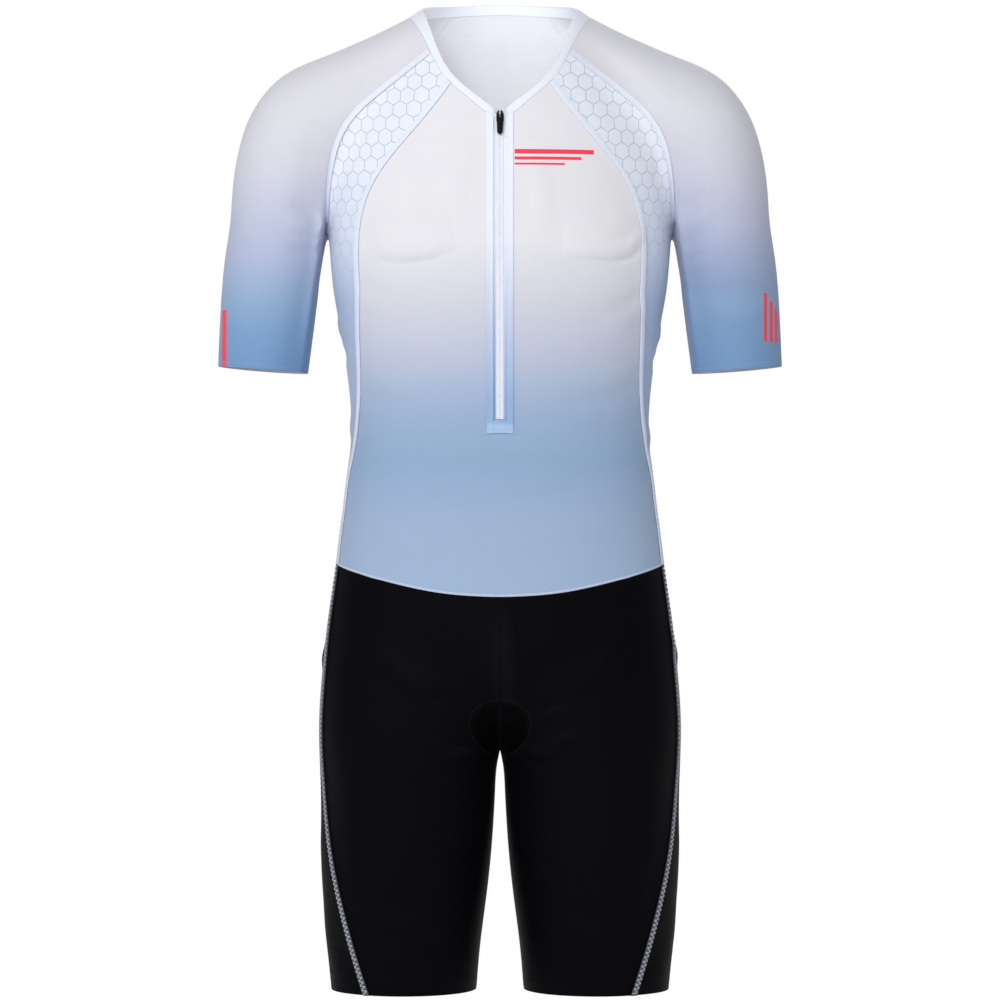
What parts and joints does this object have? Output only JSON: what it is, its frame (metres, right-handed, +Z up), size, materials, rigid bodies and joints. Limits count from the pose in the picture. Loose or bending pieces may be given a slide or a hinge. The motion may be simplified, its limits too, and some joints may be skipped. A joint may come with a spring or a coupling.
{
  "type": "cycling skinsuit",
  "caption": "One-piece short-sleeved cycling suit, filled out as worn, with raglan sleeves, a V neck with a front zip, a pale blended top and black thigh-length shorts.",
  "frame": {"origin": "midway between the two places beside the neck where the suit rests on the shoulders", "axes": "+X towards the wearer's left, +Y towards the back, +Z up; the pictured front faces -Y"},
  "size_m": [0.553, 0.2326, 0.9734],
  "materials": {
    "front": "smooth knit, matt",
    "back": "smooth knit, matt",
    "side_panel_left": "printed knit, matt",
    "side_panel_right": "printed knit, matt",
    "sleeve_left": "smooth knit, matt",
    "sleeve_right": "smooth knit, matt",
    "neck_binding": "folded elastic binding, matt",
    "zip_placket": "bonded facing, matt",
    "zip_tape_left": "woven tape",
    "zip_tape_right": "woven tape",
    "front_seam_tape_left": "flatlock tape",
    "front_seam_tape_right": "flatlock tape",
    "raglan_tape_left": "flatlock tape",
    "raglan_tape_right": "flatlock tape",
    "shorts_front_left": "dense knit, slight sheen",
    "shorts_front_right": "dense knit, slight sheen",
    "shorts_back_left": "dense knit, slight sheen",
    "shorts_back_right": "dense knit, slight sheen",
    "shorts_seam_tape_left": "flatlock tape",
    "shorts_seam_tape_right": "flatlock tape",
    "seat_pad": "padded knit",
    "zip_slider": "satin",
    "zip_pull": "moulded, matt"
  },
  "bodies": {
    "suit": {"back": "back", "front": "front", "front_seam_tape_left": "front_seam_tape_left", "front_seam_tape_right": "front_seam_tape_right", "neck_binding": "neck_binding", "raglan_tape_left": "raglan_tape_left", "raglan_tape_right": "raglan_tape_right", "seat_pad": "seat_pad", "shorts_back_left": "shorts_back_left", "shorts_back_right": "shorts_back_right", "shorts_front_left": "shorts_front_left", "shorts_front_right": "shorts_front_right", "shorts_seam_tape_left": "shorts_seam_tape_left", "shorts_seam_tape_right": "shorts_seam_tape_right", "side_panel_left": "side_panel_left", "side_panel_right": "side_panel_right", "sleeve_left": "sleeve_left", "sleeve_right": "sleeve_right", "zip_placket": "zip_placket", "zip_slider": "zip_slider", "zip_tape_left": "zip_tape_left", "zip_tape_right": "zip_tape_right"},
    "zip_pull": {"zip_pull": "zip_pull"}
  },
  "joints": [
    {"name": "pull_hinge", "type": "hinge", "parent": "suit", "child": "zip_pull", "pos_m": [0, -0.09416, -0.10052], "axis": [-1, 0, 0], "range_deg": [0, 170]}
  ]
}
